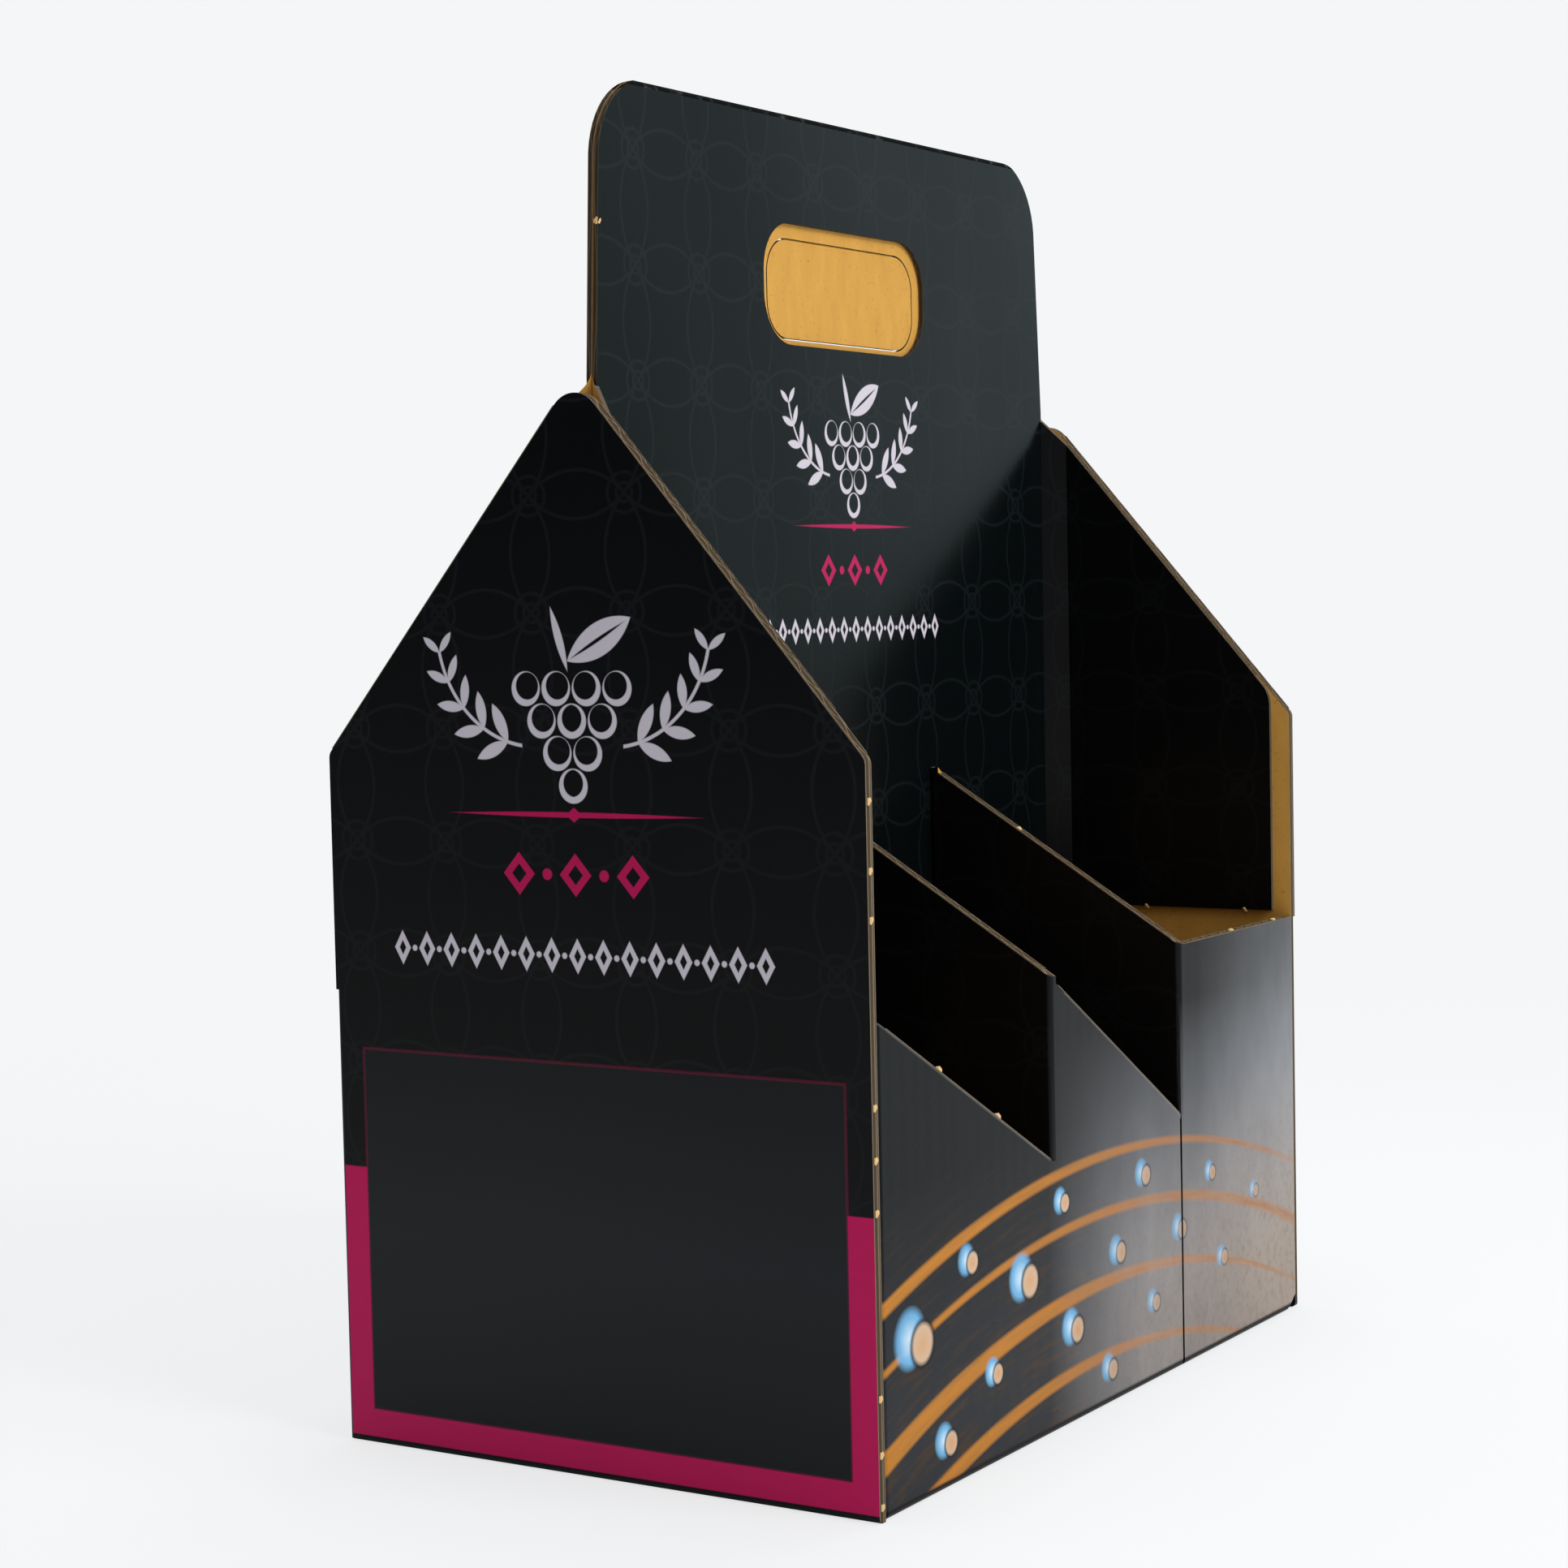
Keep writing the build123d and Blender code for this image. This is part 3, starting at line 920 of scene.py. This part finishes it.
def standing_strip(name, parts, rows=1):
    """An upright strip, one long and one high, from the origin along X."""
    upright = {"location": (0.5, 0.0, 0.5), "rotation": (tau / 4, 0.0, 0.0)}
    bpy.ops.mesh.primitive_grid_add(x_subdivisions=parts, y_subdivisions=rows, size=1.0, **upright)
    bpy.ops.object.transform_apply(location=True, rotation=True, scale=True)
    bpy.context.object.name = name
    return bpy.context.object


def lay_strip(model, place, size, count, paper):
    """A copy of a strip, repeated along its length, thick as paper, at its place."""
    strip = twin(model)
    bpy.ops.object.select_all(action="DESELECT")
    strip.select_set(True)
    bpy.context.view_layer.objects.active = strip
    strip.scale = size
    bpy.ops.object.transform_apply(location=False, rotation=False, scale=True)
    repeat = strip.modifiers.new("repeat", "ARRAY")
    repeat.count = count
    repeat.use_merge_vertices = True
    repeat.merge_threshold = MERGE
    sheet = strip.modifiers.new("sheet", "SOLIDIFY")
    sheet.thickness = paper
    sheet.offset = 0.0
    for modifier in ("repeat", "sheet"):
        bpy.ops.object.modifier_apply(modifier=modifier)
    strip.matrix_world = place
    return strip


def shift_line(strip, axis, place, aside):
    """Moves the points of a strip that lie at a place along an axis sideways."""
    bpy.ops.object.mode_set(mode="EDIT")
    bpy.ops.mesh.select_mode(type="VERT")
    bpy.ops.mesh.select_all(action="DESELECT")
    for vert in bmesh.from_edit_mesh(strip.data).verts:
        vert.select_set(abs(vert.co[axis] - place) < PICK)
    bmesh.update_edit_mesh(strip.data)
    bpy.ops.transform.translate(value=(0.0, aside, 0.0))
    bpy.ops.object.mode_set(mode="OBJECT")


class CARRIER_OT_lay_flutes(bpy.types.Operator):
    """Liners and flutes that stand open along the sloping and level cuts"""

    bl_idname = "carrier.lay_flutes"
    bl_label = "Lay flutes on cuts"

    proud = 0.00025
    sunk = 0.00005
    wave_parts = 8

    def execute(self, context):
        wave = standing_strip("flute_wave", self.wave_parts)
        for part in range(self.wave_parts + 1):
            place = part / self.wave_parts
            shift_line(wave, axis=0, place=place, aside=sin(tau * place))
        liner = standing_strip("liner_strip", 1)
        strips = []
        for cut in self.cuts():
            strips += self.fill_cut(wave, liner, *cut)
        bpy.data.objects.remove(wave)
        bpy.data.objects.remove(liner)
        right = joined(strips)
        left = twin(right)
        left.matrix_world = Matrix.Rotation(tau / 2, 4, "Z")
        flutes = joined([right, left])
        flutes.name = "cut_flutes"
        ink = context.scene.carrier_print
        tones = (ink.edge_shade_and_grain, ink.edge_paper)
        cut = raw_paper("cut_paper", *tones, share=0.9, scale=700.0, strength=0.4, specular=0.1)
        flutes.data.materials.append(cut)
        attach(flutes, "carrier")
        return {"FINISHED"}

    @staticmethod
    def cuts():
        """Start, stop, lean, thickness, pitch, running axis and side of each cut of the right half."""
        along_x, along_y = 0, 1
        backward, forward, inward = Vector((0, -1, 0)), Vector((0, 1, 0)), Vector((-1, 0, 0))
        board, ply = (BOARD, FLUTE / MM), (PLY, FINE_FLUTE / MM)
        wall = HALF_WIDTH - BOARD / 2
        end = HALF_LENGTH - BOARD / 2
        flap = HALF_LENGTH - BOARD - PLY / 2
        for side in (1, -1):
            start = (side * GABLE_TIP[0], end, GABLE_TIP[1])
            stop = (side * GABLE_FOOT[0], end, GABLE_FOOT[1])
            yield start, stop, backward, *board, along_x, 1
            start = (side * FLAP_TIP[0], flap, FLAP_TIP[1])
            stop = (side * FLAP_FOOT[0], flap, FLAP_FOOT[1])
            yield start, stop, forward, *ply, along_x, side
        rise = STRAP_RISE / (HALF_WIDTH - PLY_FACE)
        foot, head = HALF_WIDTH - BOARD, PLY_FACE + BOARD
        for hinge in HINGES:
            middle = hinge + BOARD / 2
            start = (foot, middle, WALL_TOP + (HALF_WIDTH - foot) * rise)
            stop = (head, middle, WALL_TOP + (HALF_WIDTH - head) * rise)
            yield start, stop, forward, *board, along_x, 1
        for high, low in ((BOARD - HALF_LENGTH, HINGES[0]), HINGES):
            fall = STRAP_DROP / (low - high)
            first, last = high + 1.5 * BOARD, low - BOARD / 2
            start = (wall, first, WALL_TOP - (first - high) * fall)
            stop = (wall, last, WALL_TOP - (last - high) * fall)
            yield start, stop, inward, *board, along_y, 1
        start = (wall, HINGES[1] + 1.5 * BOARD, WALL_TOP)
        yield start, (wall, HALF_LENGTH - BOARD, WALL_TOP), inward, *board, along_y, 1

    def fill_cut(self, wave, liner, start, stop, lean, thick, pitch, axis, side):
        """One row of flutes and two liners along a cut, in step with the print of the cut edge."""
        start, stop = Vector(start), Vector(stop)
        way = (stop - start).normalized()
        out = way.cross(lean)
        out *= copysign(1.0, out.z)
        across = out.cross(way)
        run = way[axis] * side
        step = pitch / abs(run)
        phase = -copysign(1.0, run) * side * start[axis] / pitch
        if run * across.dot(lean) < 0:
            phase += 0.5
        begin = phase % 1.0 * step
        length = (stop - start).length
        turn = Matrix((way, across, out)).transposed().to_4x4()
        paper = thick * LINER_SHARE
        high = self.proud + self.sunk
        count = int((length - begin) / step)
        rows = [(wave, begin, 0.0, (step, thick * FLUTE_SHARE, high), count)]
        for edge in (1, -1):
            rows.append((liner, 0.0, edge * (thick - paper) / 2, (length, 1.0, high), 1))
        strips = []
        for model, along, aside, size, repeats in rows:
            place = Matrix.Translation(start) @ turn @ Matrix.Translation((along, aside, -self.sunk))
            strips.append(lay_strip(model, place, size, repeats, paper))
        return strips


class CARRIER_OT_crease_flap(bpy.types.Operator):
    """Crushed web that joins the hand hole flap to its sheet"""

    bl_idname = "carrier.crease_flap"
    bl_label = "Crease hand hole flap"

    kerf = 0.0005
    clear = 0.00002
    bead = 0.0003
    corner = 0.010
    crushed = 0.6

    def execute(self, context):
        model = standing_strip("crease_strip", 1, rows=2)
        shift_line(model, axis=2, place=0.5, aside=self.bead)
        length = FLAP_HIGH.y - FLAP_LOW.y - 2 * self.corner
        start = Vector((FLAP_HIGH.x - PLY / 2, FLAP_LOW.y + self.corner, FLAP_HIGH.z + self.clear))
        place = Matrix.Translation(start) @ Matrix.Rotation(tau / 4, 4, "Z")
        crease = joined([lay_strip(model, place, (length, 1.0, self.kerf), 1, PLY * self.crushed)])
        bpy.data.objects.remove(model)
        crease.name = "hand_hole_crease"
        crease.data.materials.append(kraft_paper(context.scene.carrier_print))
        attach(crease, "carrier")
        return {"FINISHED"}


class CARRIER_OT_build_stage(bpy.types.Operator):
    """Pale floor, soft light and the camera"""

    bl_idname = "carrier.build_stage"
    bl_label = "Build stage"

    def execute(self, context):
        stage = context.scene.carrier_stage
        self.floor(stage)
        self.world(context.scene, stage)
        self.lamps()
        self.camera(context.scene, stage)
        context.scene.view_settings.view_transform = "Standard"
        return {"FINISHED"}

    @staticmethod
    def floor(stage):
        """White floor that keeps the carrier's shadow and fades into the backdrop."""
        bpy.ops.mesh.primitive_plane_add(size=2 * stage.floor_half)
        floor = bpy.context.object
        floor.name = "studio_floor"
        finish = Finish("studio_floor")
        white = (0.93, 0.935, 0.94)
        near, fade, least_glow = 0.60, 0.7, 0.76
        reach = finish.make("ShaderNodeVectorMath", {"operation": "LENGTH"}, {0: finish.place}, out="Value")
        seen = finish.make("ShaderNodeLightPath", out="Is Camera Ray")
        lit = finish.make("ShaderNodeBsdfDiffuse", {}, {"Color": finish.paint(white)})
        glow = finish.make("ShaderNodeEmission", {}, {"Color": finish.paint(stage.backdrop)})
        blend = finish.fill(near - reach, soft=fade) * (1.0 - least_glow) + least_glow
        finish.end(finish.make("ShaderNodeMixShader", {}, {0: seen * blend, 1: lit, 2: glow}))
        floor.data.materials.append(finish.material)

    @staticmethod
    def world(scene, stage):
        """Even daylight; the pale backdrop where it is seen, and mirrored from the back and the right."""
        cool_white = (0.94, 0.97, 1.0, 1.0)
        narrow = {"From Min": 0.82, "From Max": 0.99, "To Min": stage.dim_side}
        scene.world = bpy.data.worlds.new("studio_world")
        air = Nodes(scene.world)
        seen = air.make("ShaderNodeLightPath", out="Is Camera Ray")
        through = air.beside(seen, "Is Transmission Ray")
        glossy = air.beside(seen, "Is Glossy Ray")
        way = air.make("ShaderNodeTexCoord", out="Generated")
        dot, smooth = {"operation": "DOT_PRODUCT"}, {"interpolation_type": "SMOOTHSTEP"}
        toward = air.make("ShaderNodeVectorMath", dot, {0: way, 1: stage.bright_side}, out="Value")
        level = air.make("ShaderNodeMapRange", smooth, {"Value": toward, **narrow})
        soft = air.make("ShaderNodeBackground", {}, {"Color": cool_white, "Strength": stage.daylight})
        pale = air.make("ShaderNodeBackground", {}, {"Color": (*stage.backdrop, 1.0)})
        gloss = air.make("ShaderNodeBackground", {}, {"Color": (*stage.mirrored, 1.0), "Strength": level})
        shown = air.make("ShaderNodeMixShader", {}, {0: glossy, 1: pale, 2: gloss})
        mixed = air.make("ShaderNodeMixShader", {}, {0: seen | through | glossy, 1: soft, 2: shown})
        air.make("ShaderNodeOutputWorld", {}, {"Surface": mixed})

    @staticmethod
    def lamps():
        """Softboxes: key from the right, one from behind, one above."""
        aim = Vector((0.0, 0.0, 0.18))
        plan = (
            ("key_softbox", (1.60, -0.10, 1.15), 1.0, 25.0),
            ("back_softbox", (0.5, 1.9, 1.5), 1.2, 8.0),
            ("top_softbox", (-0.2, 0.2, 1.9), 1.2, 16.0),
        )
        for name, place, size, power in plan:
            turn = (aim - Vector(place)).to_track_quat("-Z", "Y").to_euler()
            bpy.ops.object.light_add(type="AREA", location=place, rotation=turn)
            lamp = bpy.context.object
            lamp.name = name
            lamp.data.size = size
            lamp.data.energy = power

    @staticmethod
    def camera(scene, stage):
        """Camera at the eye, looking at the aim, with its roll."""
        eye, aim = Vector(stage.eye), Vector(stage.aim)
        turn = (aim - eye).to_track_quat("-Z", "Y").to_matrix() @ Matrix.Rotation(stage.roll, 3, "Z")
        bpy.ops.object.camera_add(location=eye, rotation=turn.to_euler())
        camera = bpy.context.object
        camera.name = "studio_camera"
        camera.data.lens = stage.lens
        scene.camera = camera


class CARRIER_PT_sidebar(bpy.types.Panel):
    """Lists the carrier's steps and settings"""

    bl_idname = "CARRIER_PT_sidebar"
    bl_label = "Bottle carrier"
    bl_space_type = "VIEW_3D"
    bl_region_type = "UI"
    bl_category = "Carrier"

    def draw(self, context):
        for operator in OPERATORS:
            self.layout.operator(operator.bl_idname)
        for group in (context.scene.carrier_print, context.scene.carrier_stage):
            box = self.layout.box()
            for name in group.__annotations__:
                box.prop(group, name)


OPERATORS = (
    CARRIER_OT_dress_halves,
    CARRIER_OT_dress_insert,
    CARRIER_OT_fray_edges,
    CARRIER_OT_lay_flutes,
    CARRIER_OT_crease_flap,
    CARRIER_OT_build_stage,
)
CLASSES = (CarrierPrint, CarrierStage, *OPERATORS, CARRIER_PT_sidebar)


def register():
    for cls in CLASSES:
        bpy.utils.register_class(cls)
    bpy.types.Scene.carrier_print = PointerProperty(type=CarrierPrint)
    bpy.types.Scene.carrier_stage = PointerProperty(type=CarrierStage)


def unregister():
    del bpy.types.Scene.carrier_stage
    del bpy.types.Scene.carrier_print
    for cls in reversed(CLASSES):
        bpy.utils.unregister_class(cls)


def main():
    register()
    bpy.ops.carrier.dress_halves()
    bpy.ops.carrier.dress_insert()
    bpy.ops.carrier.fray_edges()
    bpy.ops.carrier.lay_flutes()
    bpy.ops.carrier.crease_flap()
    bpy.ops.carrier.build_stage()


if __name__ == "__main__":
    main()
